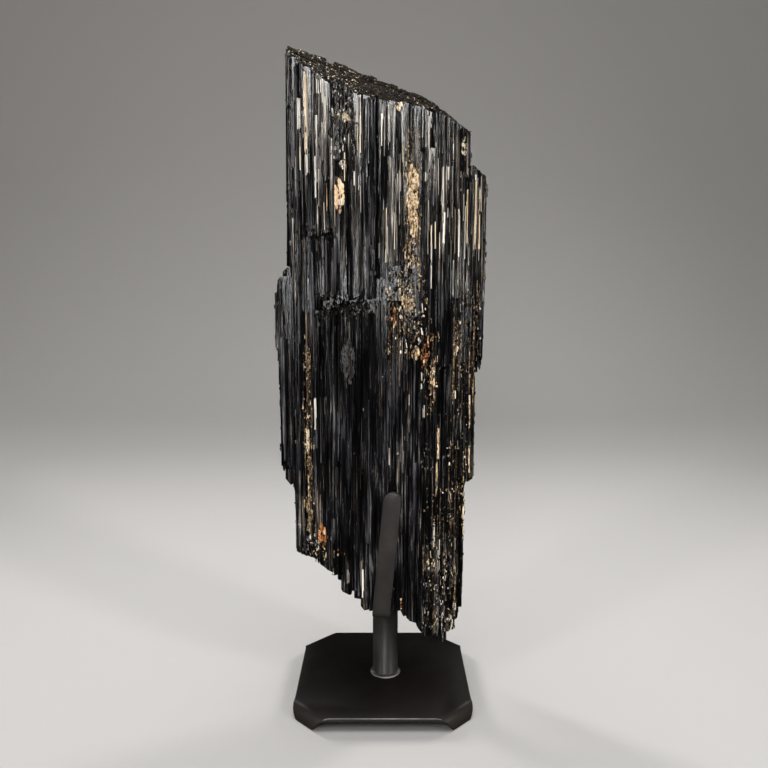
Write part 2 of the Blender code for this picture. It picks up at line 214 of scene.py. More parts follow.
def patinated_steel(name, tones, shine=0.25, rolled_highlight=None):
    """Clouded and finely brushed, with a painted highlight: a lighter tone on a sheet's rolled slopes."""
    material = new_material(name)
    shader = shader_of(material)
    shader.inputs["Metallic"].default_value = 0.0
    shader.inputs["Specular IOR Level"].default_value = shine
    clouds = object_pattern(material, (1.0, 1.0, 1.0), in_Scale=55.0, in_Detail=5.0, in_Roughness=0.6)
    tint = ramp(material, clouds.outputs["Fac"], tuple(zip((0.30, 0.55, 0.80), tones)))
    link(material, tint.outputs["Color"], shader.inputs["Base Color"])
    # Steep faces turn to the lighter tone, a painted highlight on the rolled slopes.
    if rolled_highlight:
        coordinates = add_node(material, "ShaderNodeTexCoord")
        ways = add_node(material, "ShaderNodeSeparateXYZ")
        link(material, coordinates.outputs["Normal"], ways.inputs["Vector"])
        slope = ramp(material, ways.outputs["Z"], ((STEEP_SLOPE, grey(1.0)), (LEVEL_SLOPE, grey(0.0))))
        painted_slope_highlight = add_node(material, "ShaderNodeMix", data_type="RGBA")
        painted_slope_highlight.inputs["B"].default_value = (*rolled_highlight, 1.0)
        link(material, slope.outputs["Color"], painted_slope_highlight.inputs["Factor"])
        link(material, tint.outputs["Color"], painted_slope_highlight.inputs["A"])
        link(material, painted_slope_highlight.outputs["Result"], shader.inputs["Base Color"])
    brushed = object_pattern(material, (1.0, 1.0, 0.05), in_Scale=900.0, in_Detail=3.0)
    rough = ramp(material, brushed.outputs["Fac"], ((0.30, grey(0.36)), (0.75, grey(0.52))))
    link(material, rough.outputs["Color"], shader.inputs["Roughness"])
    grain = object_pattern(material, (1.0, 1.0, 1.0), in_Scale=1400.0, in_Detail=2.0)
    bump = add_node(material, "ShaderNodeBump", in_Strength=0.10, in_Distance=0.0002)
    link(material, grain.outputs["Fac"], bump.inputs["Height"])
    link(material, bump.outputs["Normal"], shader.inputs["Normal"])
    return material


def dress_copy(node, name, edge_width, smooth_degrees):
    """A copy of a solid with its loose triangles merged, its edges broken and its curves smooth."""
    piece = bpy.data.objects.new(name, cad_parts[node].data.copy())
    bpy.context.scene.collection.objects.link(piece)
    piece.data.materials.clear()
    pick(piece)
    bpy.ops.object.mode_set(mode="EDIT")
    bpy.ops.mesh.select_all(action="SELECT")
    bpy.ops.mesh.remove_doubles(threshold=0.000002)
    bpy.ops.mesh.dissolve_limited(angle_limit=math.radians(1.0))
    bpy.ops.object.mode_set(mode="OBJECT")
    if edge_width:
        edges = piece.modifiers.new("broken edges", "BEVEL")
        edges.width = edge_width
        edges.segments = 2
        edges.limit_method = "ANGLE"
        edges.angle_limit = math.radians(smooth_degrees)
        bpy.ops.object.modifier_apply(modifier=edges.name)
    bpy.ops.object.shade_smooth_by_angle(angle=math.radians(smooth_degrees))
    return piece


def rub_faces(piece, low, high, least, most):
    """Gives the slanting faces between two heights the painted highlight finish, which is the second one."""
    for face in piece.data.polygons:
        if low < face.center.z < high and least < face.normal.z < most:
            face.material_index = 1


shaded_plate_steel = patinated_steel("shaded_plate_steel", SHADED_PLATE_TONES, 0.12, ROLLED_HIGHLIGHT_TONE)
bar_steel = patinated_steel("bar_steel", BAR_TONES)
painted_highlight_steel = patinated_steel("painted_highlight_steel", EDGE_HIGHLIGHT_TONES)
plate_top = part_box("base_plate")[1][2]
for node, edge_width, finish in (("base_plate", 0.0, shaded_plate_steel), ("post", 0.0, bar_steel),
                                 ("cradle", CRADLE_EDGE, bar_steel)):
    piece = dress_copy(node, node + "_steel", edge_width, SMOOTH_DEGREES)
    piece.data.materials.append(finish)
    piece.data.materials.append(painted_highlight_steel)
    if node == "base_plate":
        rub_faces(piece, plate_top - EDGE_HIGHLIGHT_BAND, plate_top, 0.5, 0.9)
    if node == "post":
        rub_faces(piece, plate_top, plate_top + 2 * EDGE_HIGHLIGHT_BAND, 0.05, 0.9)
    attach(piece, "root")
    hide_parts(node)


# Crystal: its finishes
# Black kyanite, glossy on its faces, with fine brown and golden streaks that run up the blades, and silvery
# streaks that are painted highlights.
# Cream, orange and gold are stains and mica in the seams, white is both stain and painted highlight, and the
# crumbly finishes are broken rock.
LINE_SCALE = 640.0
BAND_SCALE = 260.0
CRUMB_SCALE = 900.0
FADE_SCALE = 45.0


def mix_values(material, first, second, share):
    node = add_node(material, "ShaderNodeMix", data_type="FLOAT")
    node.inputs[0].default_value = share
    link(material, first, node.inputs[2])
    link(material, second, node.inputs[3])
    return node.outputs[0]


def blade_finish(name, stops, polish, crumbly=0.10, relief=0.0005, shine=0.5, fade=0.20):
    """Fine lines over broader bands along the blades, fading in and out, broken up by a share of crumbs."""
    material = new_material(name)
    shader = shader_of(material)
    shader.inputs["IOR"].default_value = 1.50
    shader.inputs["Specular IOR Level"].default_value = shine
    lines = object_pattern(material, (1.0, 1.0, 0.04), in_Scale=LINE_SCALE, in_Detail=3.0, in_Roughness=0.7)
    bands = object_pattern(material, (1.0, 1.0, 0.08), in_Scale=BAND_SCALE, in_Detail=3.0, in_Roughness=0.6)
    crumbs = object_pattern(material, (1.0, 1.0, 0.55), in_Scale=CRUMB_SCALE, in_Detail=3.0, in_Roughness=0.7)
    clouds = object_pattern(material, (1.0, 1.0, 0.40), in_Scale=FADE_SCALE, in_Detail=2.0)
    streaks = mix_values(material, lines.outputs["Fac"], bands.outputs["Fac"], 0.35)
    pattern = mix_values(material, streaks, crumbs.outputs["Fac"], crumbly)
    # On the silver and white finishes the fading is part of the painted highlight, which comes and goes along
    # a blade.
    faded = mix_values(material, pattern, clouds.outputs["Fac"], fade)
    tint = ramp(material, faded, stops)
    link(material, tint.outputs["Color"], shader.inputs["Base Color"])
    gloss = ramp(material, bands.outputs["Fac"], ((0.40, grey(polish[0])), (0.60, grey(polish[1]))))
    link(material, gloss.outputs["Color"], shader.inputs["Roughness"])
    bump = add_node(material, "ShaderNodeBump", in_Strength=1.0, in_Distance=relief)
    link(material, pattern, bump.inputs["Height"])
    link(material, bump.outputs["Normal"], shader.inputs["Normal"])
    return material


BLACK, SATIN, BROWN, SILVER_HIGHLIGHT, CREAM, WHITE_STAIN_AND_HIGHLIGHT, GOLD, MICA = range(8)
GREY, ORANGE, PEACH, GRAIN, ROCK, CRUST, PAINTED_SHADE = range(8, 15)
finishes = [
    blade_finish("black_blades", ((0.44, (0.001, 0.001, 0.001)), (0.52, (0.004, 0.004, 0.0047)),
                                  (0.56, (0.018, 0.018, 0.020)), (0.60, (0.12, 0.116, 0.11))), (0.06, 0.20)),
    blade_finish("satin_blades", ((0.42, (0.003, 0.003, 0.0035)), (0.48, (0.016, 0.0155, 0.0185)),
                                  (0.54, (0.050, 0.048, 0.055)), (0.60, (0.20, 0.195, 0.20))),
                 (0.20, 0.38), shine=0.35),
    blade_finish("brown_blades", ((0.43, (0.002, 0.0014, 0.001)), (0.50, (0.013, 0.009, 0.006)),
                                  (0.55, (0.058, 0.042, 0.028)), (0.60, (0.30, 0.235, 0.165))), (0.12, 0.32)),
    # Silver: painted highlights of cleaved faces.
    blade_finish("silver_highlight_blades", ((0.43, (0.004, 0.0035, 0.003)), (0.50, (0.034, 0.030, 0.026)),
                                   (0.55, (0.17, 0.150, 0.127)), (0.60, (0.66, 0.60, 0.52))), (0.12, 0.30)),
    blade_finish("cream_stain", ((0.38, (0.10, 0.055, 0.022)), (0.44, (0.45, 0.32, 0.18)),
                                 (0.50, (0.76, 0.64, 0.45)), (0.60, (0.84, 0.76, 0.62))), (0.25, 0.45)),
    # White: real stains and tips, and also painted highlights on cleaved faces.
    blade_finish("white_stain", ((0.40, (0.09, 0.078, 0.065)), (0.46, (0.42, 0.38, 0.33)),
                                 (0.52, (0.74, 0.69, 0.62)), (0.60, (0.88, 0.84, 0.78))), (0.20, 0.40)),
    blade_finish("gold_rock", ((0.41, (0.003, 0.0017, 0.001)), (0.47, (0.040, 0.022, 0.010)),
                               (0.52, (0.19, 0.115, 0.052)), (0.57, (0.55, 0.40, 0.22)),
                               (0.62, (0.82, 0.72, 0.54))), (0.18, 0.36), 0.65, 0.0008, fade=0.1),
    blade_finish("bright_mica", ((0.40, (0.06, 0.028, 0.011)), (0.44, (0.30, 0.175, 0.080)),
                                 (0.50, (0.58, 0.41, 0.225)), (0.56, (0.80, 0.665, 0.46)),
                                 (0.63, (0.86, 0.79, 0.67))), (0.18, 0.36), 0.70, 0.0008, fade=0.1),
    blade_finish("grey_rock", ((0.42, (0.002, 0.002, 0.002)), (0.49, (0.020, 0.019, 0.018)),
                               (0.55, (0.085, 0.081, 0.077)), (0.61, (0.36, 0.345, 0.32))),
                 (0.25, 0.45), 0.75, 0.0008, shine=0.35, fade=0.1),
    blade_finish("orange_stain", ((0.40, (0.02, 0.005, 0.001)), (0.47, (0.17, 0.048, 0.009)),
                                  (0.54, (0.46, 0.17, 0.038)), (0.62, (0.74, 0.44, 0.19))),
                 (0.30, 0.50), 0.6, 0.0008, fade=0.1),
    blade_finish("peach_stain", ((0.39, (0.42, 0.22, 0.09)), (0.47, (0.74, 0.47, 0.26)),
                                 (0.58, (0.85, 0.68, 0.48))), (0.30, 0.50), 0.5, fade=0.1),
    blade_finish("brown_grain", ((0.44, (0.0008, 0.0005, 0.0003)), (0.51, (0.005, 0.0036, 0.0023)),
                                 (0.57, (0.020, 0.0145, 0.0092)), (0.62, (0.09, 0.067, 0.042)),
                                 (0.68, (0.42, 0.34, 0.24))),
                 (0.35, 0.60), 0.85, 0.0008, shine=0.08, fade=0.1),
    blade_finish("brown_rock", ((0.44, (0.0010, 0.0007, 0.0005)), (0.50, (0.009, 0.0065, 0.0045)),
                                (0.56, (0.036, 0.027, 0.018)), (0.61, (0.15, 0.115, 0.080)),
                                (0.67, (0.50, 0.42, 0.32))),
                 (0.25, 0.50), 0.75, 0.0008, shine=0.25, fade=0.1),
    blade_finish("grey_crust", ((0.40, (0.012, 0.0115, 0.0112)), (0.50, (0.036, 0.0345, 0.034)),
                                (0.60, (0.10, 0.096, 0.093))),
                 (0.35, 0.55), 0.7, 0.0006, shine=0.20, fade=0.1),
    # Near-black with almost no gloss: painted shade in the gaps, grooves and pits between blades.
    blade_finish("painted_shade_black", ((0.46, (0.0004, 0.0004, 0.0004)), (0.54, (0.0016, 0.0015, 0.0016)),
                                (0.60, (0.009, 0.008, 0.007))), (0.30, 0.50), shine=0.06),
]
# The silver and white shares are painted highlights, most in the top, bright, pale and lines mixes, where the
# light falls on the upper blades. The shade shares are painted shade, most in the dark, rock, glitter and
# sparkle mixes.
MIXES = {
    "top": ((SILVER_HIGHLIGHT, 0.18), (BROWN, 0.26), (SATIN, 0.15), (BLACK, 0.16), (PAINTED_SHADE, 0.25)),
    "middle": ((SILVER_HIGHLIGHT, 0.03), (BROWN, 0.18), (SATIN, 0.43), (BLACK, 0.20), (PAINTED_SHADE, 0.16)),
    "low": ((SILVER_HIGHLIGHT, 0.03), (BROWN, 0.19), (SATIN, 0.26), (BLACK, 0.26), (PAINTED_SHADE, 0.26)),
    "bright": ((SILVER_HIGHLIGHT, 0.36), (WHITE_STAIN_AND_HIGHLIGHT, 0.18), (BROWN, 0.15), (SATIN, 0.05), (PAINTED_SHADE, 0.26)),
    "pale": ((CREAM, 0.16), (WHITE_STAIN_AND_HIGHLIGHT, 0.16), (SILVER_HIGHLIGHT, 0.24), (BROWN, 0.20), (PAINTED_SHADE, 0.24)),
    "dark": ((BLACK, 0.32), (PAINTED_SHADE, 0.52), (SATIN, 0.07), (BROWN, 0.09)),
    "glassy": ((BLACK, 0.40), (PAINTED_SHADE, 0.28), (SATIN, 0.14), (BROWN, 0.11), (SILVER_HIGHLIGHT, 0.07)),
    "violet": ((SATIN, 0.58), (BLACK, 0.12), (PAINTED_SHADE, 0.16), (BROWN, 0.06), (SILVER_HIGHLIGHT, 0.08)),
    "olive": ((BROWN, 0.48), (SILVER_HIGHLIGHT, 0.15), (SATIN, 0.05), (BLACK, 0.12), (PAINTED_SHADE, 0.20)),
    "gold": ((GOLD, 0.48), (MICA, 0.12), (BROWN, 0.18), (PAINTED_SHADE, 0.22)),
    "mica": ((MICA, 0.76), (GOLD, 0.10), (CREAM, 0.08), (PEACH, 0.06)),
    "glitter": ((GOLD, 0.24), (MICA, 0.09), (ROCK, 0.13), (BROWN, 0.04), (PAINTED_SHADE, 0.44), (WHITE_STAIN_AND_HIGHLIGHT, 0.06)),
    "sparkle": ((GOLD, 0.09), (SILVER_HIGHLIGHT, 0.18), (WHITE_STAIN_AND_HIGHLIGHT, 0.13), (GREY, 0.08), (BROWN, 0.12), (PAINTED_SHADE, 0.40)),
    "ember": ((ORANGE, 0.78), (PEACH, 0.06), (PAINTED_SHADE, 0.16)),
    "pitted": ((GREY, 0.34), (SILVER_HIGHLIGHT, 0.18), (ROCK, 0.08), (WHITE_STAIN_AND_HIGHLIGHT, 0.08), (PAINTED_SHADE, 0.32)),
    "brown": ((GOLD, 0.19), (BROWN, 0.30), (BLACK, 0.12), (PAINTED_SHADE, 0.34), (CREAM, 0.03), (WHITE_STAIN_AND_HIGHLIGHT, 0.02)),
    "rock": ((ROCK, 0.24), (BROWN, 0.06), (PAINTED_SHADE, 0.69), (GOLD, 0.01)),
    "lump": ((CRUST, 0.96), (GREY, 0.04)),
    "cream": ((CREAM, 0.55), (MICA, 0.20), (GREY, 0.15), (PAINTED_SHADE, 0.10)),
    "peach": ((PEACH, 0.75), (CREAM, 0.25)),
    "orange": ((ORANGE, 0.50), (GOLD, 0.14), (PEACH, 0.04), (PAINTED_SHADE, 0.32)),
    "pink": ((WHITE_STAIN_AND_HIGHLIGHT, 0.18), (PEACH, 0.12), (SILVER_HIGHLIGHT, 0.26), (GREY, 0.18), (PAINTED_SHADE, 0.26)),
    "grain": ((GRAIN, 0.66), (ROCK, 0.16), (PAINTED_SHADE, 0.10), (BROWN, 0.05), (CREAM, 0.015), (GOLD, 0.015)),
    "beads_and_glints": ((GRAIN, 0.20), (CREAM, 0.40), (WHITE_STAIN_AND_HIGHLIGHT, 0.30), (MICA, 0.10)),
    "specks": ((BLACK, 0.26), (PAINTED_SHADE, 0.22), (SATIN, 0.20), (BROWN, 0.20), (SILVER_HIGHLIGHT, 0.08), (GOLD, 0.04)),
    "mist": ((GREY, 0.26), (SILVER_HIGHLIGHT, 0.08), (BROWN, 0.24), (PAINTED_SHADE, 0.42)),
    "lines": ((WHITE_STAIN_AND_HIGHLIGHT, 0.34), (SILVER_HIGHLIGHT, 0.44), (CREAM, 0.14), (SATIN, 0.08)),
}
LONG_BLADE = 0.025
TOP_ZONE = 0.338
MIDDLE_ZONE = 0.200
SEAMS = (
    # mix, x from, x to, z from, z to, broken bits
    ("gold", 0.0149, 0.0250, 0.3060, 0.4020, 520),
    ("glitter", 0.0017, 0.0296, 0.2560, 0.3160, 760),
    ("brown", 0.0496, 0.0704, 0.2280, 0.3000, 420),
    ("gold", 0.0300, 0.0383, 0.2160, 0.2700, 170),
    ("sparkle", 0.0280, 0.0542, 0.0480, 0.1100, 760),
    ("brown", 0.0297, 0.0631, 0.1000, 0.1640, 620),
    ("brown", 0.0464, 0.0635, 0.1300, 0.2240, 380),
    ("gold", -0.0563, -0.0506, 0.1250, 0.2620, 360),
    ("rock", -0.0417, -0.0066, 0.2840, 0.2970, 380),
    ("pitted", -0.0333, -0.0188, 0.3880, 0.4360, 640),
    ("rock", -0.0574, -0.0258, 0.3350, 0.3410, 130),
    ("glitter", -0.0589, -0.0329, 0.1050, 0.1180, 160),
)
BANDS = (
    # mix, x from, x to, z from, z to
    ("glassy", -0.0657, -0.0551, 0.3300, 0.4450),
    ("dark", -0.0493, -0.0447, 0.3750, 0.4400),
    ("bright", -0.0449, -0.0340, 0.3400, 0.4420),
    ("violet", -0.0454, -0.0249, 0.3000, 0.3360),
    ("olive", -0.0337, -0.0196, 0.3400, 0.3860),
    ("bright", -0.0188, -0.0139, 0.3800, 0.4300),
    ("violet", -0.0141, -0.0050, 0.3000, 0.4300),
    ("dark", -0.0050, -0.0013, 0.2900, 0.4250),
    ("pale", -0.0013, 0.0043, 0.3500, 0.4300),
    ("violet", 0.0043, 0.0098, 0.3150, 0.4200),
    ("olive", 0.0098, 0.0148, 0.3100, 0.4200),
    ("dark", 0.0251, 0.0307, 0.3880, 0.4150),
    ("bright", 0.0308, 0.0338, 0.3850, 0.4100),
    ("olive", 0.0310, 0.0386, 0.3300, 0.4050),
    ("bright", 0.0387, 0.0458, 0.3350, 0.3850),
    ("cream", 0.0533, 0.0573, 0.3920, 0.4080),
    ("bright", 0.0496, 0.0567, 0.3180, 0.3600),
    ("pale", 0.0606, 0.0728, 0.3180, 0.3800),
    ("dark", -0.0117, -0.0004, 0.2880, 0.3220),
    ("dark", 0.0350, 0.0486, 0.2260, 0.2950),
    ("violet", -0.0400, -0.0327, 0.2260, 0.2840),
    ("violet", -0.0290, -0.0216, 0.1680, 0.2160),
    ("olive", 0.0494, 0.0557, 0.1680, 0.2280),
    ("dark", -0.0477, -0.0382, 0.1800, 0.2700),
)


def draw_finish(mix, rng):
    """Draws one of a mix's finishes by their shares."""
    draw = rng.random()
    for finish, share in MIXES[mix]:
        draw -= share
        if draw < 0.0:
            return finish
    return MIXES[mix][-1][0]


def pick_mix(x, z):
    """The seams and bands have mixes of their own, with uneven borders, and the rest goes by height."""
    x += 0.0022 * noise.noise(Vector((x * 40.0, 3.0, z * 55.0)))
    z += 0.0070 * noise.noise(Vector((x * 220.0, 7.0, z * 20.0)))
    for mix, x_from, x_to, z_from, z_to, *bits in SEAMS + BANDS:
        if x_from < x < x_to and z_from < z < z_to:
            return mix
    return "top" if z > TOP_ZONE else "middle" if z > MIDDLE_ZONE else "low"


def pick_finish(place, length, rng):
    """The unseen back follows the front's plan, the other way round."""
    finish = draw_finish(pick_mix(place.x if place.y < 0.0 else -place.x, place.z), rng)
    return BROWN if finish in (CREAM, WHITE_STAIN_AND_HIGHLIGHT, MICA) and length > LONG_BLADE else finish


# Crystal: the striated blades
# The crystal is a sheaf of flat upright blades, broken off at their ends.
# The solid's own broad blades are kept, and many finer ones are set into its faces all round.
BLADE_SEED = 7
BROAD_BLADES = 800
FINE_BLADES = 16000
ARM_TOP = 0.166
ARM_HALF_WIDTH = 0.0135
ARM_BACK = 0.0295
CLEAR_STEP = 0.003
CLEAR_START = 0.012
LARGEST_FALL = 0.0011
END_MARGIN = 0.008
SHORTEST_BLADE = 0.006
STEPS_ABOVE = 0.39
STEPS_BEHIND = -0.016
GROUP_SIZE = 300


def blade_pattern(name, sides, least_end):
    """One blade a metre each way, for copies to be shrunk from: uneven flat faces and narrowed ends."""
    deselect_all()
    bpy.ops.mesh.primitive_cylinder_add(vertices=sides, radius=0.5, depth=1.0, end_fill_type="NGON")
    blade = bpy.context.active_object
    blade.name = name
    uneven = random.Random(name)
    reaches = [uneven.uniform(0.70, 1.10) for column in range(sides)]
    ends = [uneven.uniform(least_end, 1.0) for end in ("low", "top")]
    for vert in blade.data.vertices:
        reach = reaches[vert.index // 2] * ends[vert.co.z > 0.0]
        vert.co.x *= reach
        vert.co.y *= reach
    for material in finishes:
        blade.data.materials.append(material)
    return blade


def surface_tree(*pieces):
    """A tree of the pieces' faces, for finding their surface along a line."""
    verts = []
    faces = []
    for piece in pieces:
        faces += [[len(verts) + corner for corner in face.vertices] for face in piece.data.polygons]
        verts += [vert.co.copy() for vert in piece.data.vertices]
    return BVHTree.FromPolygons(verts, faces)


def level_normal(place, normal, steepest=0.5):
    if place is None or abs(normal.z) > steepest:
        return None
    return place, Vector((normal.x, normal.y, 0.0)).normalized()


def find_round(tree, angle, height):
    """The outer surface and its level normal at a height, seen from an angle round the crystal."""
    outside = Vector((math.cos(angle) * 0.16, math.sin(angle) * 0.13, height))
    inward = (Vector((0.55 * outside.x, 0.0, height)) - outside).normalized()
    return level_normal(*tree.ray_cast(outside, inward)[:2])


def find_across(tree, x, height, front=True, steepest=0.5):
    """The same, seen straight on from the front or the back."""
    way = 1.0 if front else -1.0
    place, normal = tree.ray_cast(Vector((x, -0.13 * way, height)), Vector((0.0, way, 0.0)))[:2]
    return level_normal(place, normal, steepest)


def clear_run(tree, place, outward, middle, length, way):
    """How high or low a blade can reach from its middle before the surface under it falls away."""
    height = middle
    while abs(height - middle) < length / 2:
        height += way * CLEAR_STEP
        start = Vector((place.x, place.y, height)) + outward * CLEAR_START
        hit = tree.ray_cast(start, -outward, 2 * CLEAR_START)[0]
        if hit is None or abs((hit - place).dot(outward)) > LARGEST_FALL:
            return height - way * CLEAR_STEP
    return height


def in_arm_way(place, reach):
    """True where a blade would reach the cradle's arms, which stand close to the crystal."""
    close = abs(place.x - 0.002) < ARM_HALF_WIDTH + reach
    return close and place.z < ARM_TOP and abs(place.y) > ARM_BACK - 0.002


def set_shard(pattern, place, outward, sizes, proud, finish, rng, turn=0.28, lean=0.012):
    """A copy of a pattern, upright in the surface, a little turned and leant, with slanting ends."""
    width, depth, length = sizes
    outward = Matrix.Rotation(rng.gauss(0.0, turn), 3, "Z") @ outward
    side = Vector((-outward.y, outward.x, 0.0))
    slant = rng.gauss(0.0, 0.6)
    upright = Vector((0.0, 0.0, length))
    upright += side * length * rng.gauss(0.0, lean) + outward * length * rng.gauss(0.0, min(0.4 * lean, 0.05))
    across = side * width + Vector((0.0, 0.0, slant * width))
    through = outward * depth + Vector((0.0, 0.0, 0.4 * slant * depth))
    centre = place + outward * (proud - depth / 2)
    shard = bpy.data.objects.new("shard", pattern.data.copy())
    shape = Matrix((across, through, upright)).transposed().to_4x4()
    shard.data.transform(Matrix.Translation(centre) @ shape)
    for vert in shard.data.vertices:
        vert.co.z += rng.uniform(-0.4, 0.4) * width
    for face in shard.data.polygons:
        face.material_index = finish
    bpy.context.scene.collection.objects.link(shard)
    return shard


def join_group(pieces):
    """Joins pieces into the first of them."""
    deselect_all()
    for piece in pieces:
        piece.select_set(True)
    bpy.context.view_layer.objects.active = pieces[0]
    bpy.ops.object.join()
    return bpy.context.active_object


def join_pieces(pieces, name):
    """Joins pieces a few hundred at a time as they are made, because one large join is slow."""
    groups = []
    loose = []
    for piece in pieces:
        loose.append(piece)
        if len(loose) == GROUP_SIZE:
            groups.append(join_group(loose))
            loose = []
    whole = join_group(groups + loose)
    whole.name = name
    for face in whole.data.polygons:
        face.use_smooth = False
    return whole


def grow_blades(tree, patterns, count, lengths, widths, depth, proud, rng):
    """Blades scattered all round, each as long as the surface under it allows."""
    for attempt in range(count):
        middle = rng.uniform(low_corner[2] + END_MARGIN, high_corner[2] - END_MARGIN)
        found = find_round(tree, rng.uniform(0.0, 2 * math.pi), middle)
        length = rng.uniform(*lengths)
        if not found:
            continue
        place, outward = found
        width = rng.uniform(*widths)
        low = clear_run(tree, place, outward, middle, length, -1) + width / 2
        high = clear_run(tree, place, outward, middle, length, 1) - width / 2
        if high - low < SHORTEST_BLADE or in_arm_way(Vector((place.x, place.y, low)), width):
            continue
        place = Vector((place.x, place.y, (low + high) / 2))
        finish = pick_finish(place, high - low, rng)
        yield set_shard(rng.choice(patterns), place, outward, (width, depth, high - low),
                        rng.uniform(*proud), finish, rng)


def stain_ends(piece):
    """The broken ends and the steps across the slanted top are dull rock, not polished blade."""
    for face in piece.data.polygons:
        top_step = face.center.z > STEPS_ABOVE and face.center.y > STEPS_BEHIND and face.normal.y < -0.2
        if face.normal.z > 0.15 or top_step:
            face.material_index = GRAIN


rng = random.Random(BLADE_SEED)
low_corner, high_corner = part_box("crystal")
blunt = [blade_pattern("blunt_" + str(number), 4 + number % 4, 0.8) for number in range(8)]
pointed = [blade_pattern("pointed_" + str(number), 3 + number % 3, 0.2) for number in range(9)]
crystal = dress_copy("crystal", "crystal_blades", 0.0, 20.0)
for material in finishes:
    crystal.data.materials.append(material)
tree = surface_tree(crystal)
broad = join_pieces(grow_blades(tree, blunt, BROAD_BLADES, (0.03, 0.14), (0.0018, 0.0046), 0.0040,
                                (0.0002, 0.0011), rng), "broad_blades")
crystal = join_pieces([crystal, broad], "crystal_blades")
stain_ends(crystal)
tree = surface_tree(crystal)
fine = join_pieces(grow_blades(tree, pointed, FINE_BLADES, (0.008, 0.060), (0.0004, 0.0015), 0.0018,
                               (0.0001, 0.0008), rng), "fine_blades")
stain_ends(fine)
for piece in (crystal, fine):
    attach(piece, "root")
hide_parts("crystal")


